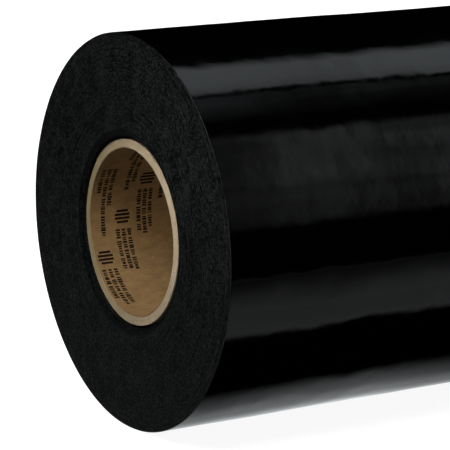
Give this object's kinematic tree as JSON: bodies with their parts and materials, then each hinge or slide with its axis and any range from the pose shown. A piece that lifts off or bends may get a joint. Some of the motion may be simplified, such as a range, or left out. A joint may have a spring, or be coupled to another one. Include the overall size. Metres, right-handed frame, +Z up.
{
  "type": "roll of sign vinyl",
  "caption": "Roll of gloss black self-adhesive sign vinyl on a paperboard core, with a free end that lifts, peels off its liner and is held by tape.",
  "frame": {"origin": "under the middle of the roll, on the surface that it lies on", "axes": "+X along the roll, +Z up; the web comes over the top and down the -Y side to its cut end"},
  "size_m": [0.6096, 0.181, 0.1807],
  "materials": {
    "kraft_inner": "rough brown kraft paper",
    "core_board": "grey-brown pressed board",
    "double_tape": "double-faced paper tape",
    "wound_vinyl": "high gloss black film, wound on its liner",
    "black_film": "high gloss black PVC film",
    "adhesive": "clear pressure-sensitive adhesive on black film",
    "release_liner": "silicone-coated charcoal paper, satin",
    "clear_tape": "thin clear packing tape"
  },
  "bodies": {
    "roll": {"core_inner_ply": "kraft_inner", "core_body_ply_1": "core_board", "core_body_ply_2": "core_board", "core_body_ply_3": "core_board", "core_body_ply_4": "core_board", "core_outer_ply": "core_board", "start_tape": "double_tape", "first_wraps": "wound_vinyl", "wound_web": "wound_vinyl"},
    "tail_1": {"tail_liner_1": "release_liner", "tail_adhesive_1": "adhesive", "tail_film_1": "black_film"},
    "tail_2": {"tail_liner_2": "release_liner", "tail_adhesive_2": "adhesive", "tail_film_2": "black_film"},
    "tail_3": {"tail_liner_3": "release_liner", "tail_adhesive_3": "adhesive", "tail_film_3": "black_film"},
    "tail_4": {"tail_liner_4": "release_liner"},
    "film_tip": {"tail_adhesive_4": "adhesive", "tail_film_4": "black_film", "tape_on_film": "clear_tape"},
    "tape_end": {"tape_on_wrap": "clear_tape"}
  },
  "joints": [
    {"name": "tail_lift_1", "type": "hinge", "parent": "roll", "child": "tail_1", "pos_m": [0, -0.04523, 0.16861], "axis": [-1, 0, 0], "range_deg": [0, 30], "stiffness_Nm_per_rad": 0.017},
    {"name": "tail_lift_2", "type": "hinge", "parent": "tail_1", "child": "tail_2", "pos_m": [0, -0.06508, 0.15312], "axis": [-1, 0, 0], "range_deg": [0, 30], "stiffness_Nm_per_rad": 0.017},
    {"name": "tail_lift_3", "type": "hinge", "parent": "tail_2", "child": "tail_3", "pos_m": [0, -0.07989, 0.13275], "axis": [-1, 0, 0], "range_deg": [0, 30], "stiffness_Nm_per_rad": 0.017},
    {"name": "tail_lift_4", "type": "hinge", "parent": "tail_3", "child": "tail_4", "pos_m": [0, -0.08851, 0.10909], "axis": [-1, 0, 0], "range_deg": [0, 30], "stiffness_Nm_per_rad": 0.017},
    {"name": "film_peel", "type": "hinge", "parent": "tail_4", "child": "film_tip", "pos_m": [0, -0.08851, 0.10909], "axis": [-1, 0, 0], "range_deg": [0, 75]},
    {"name": "tape_fold", "type": "hinge", "parent": "film_tip", "child": "tape_end", "pos_m": [0, -0.09028, 0.08396], "axis": [-1, 0, 0], "range_deg": [0, 80]}
  ],
  "couplings": [
    {"joint": "tail_lift_2", "follows": "tail_lift_1", "ratio": 1},
    {"joint": "tail_lift_3", "follows": "tail_lift_1", "ratio": 1},
    {"joint": "tail_lift_4", "follows": "tail_lift_1", "ratio": 1}
  ]
}
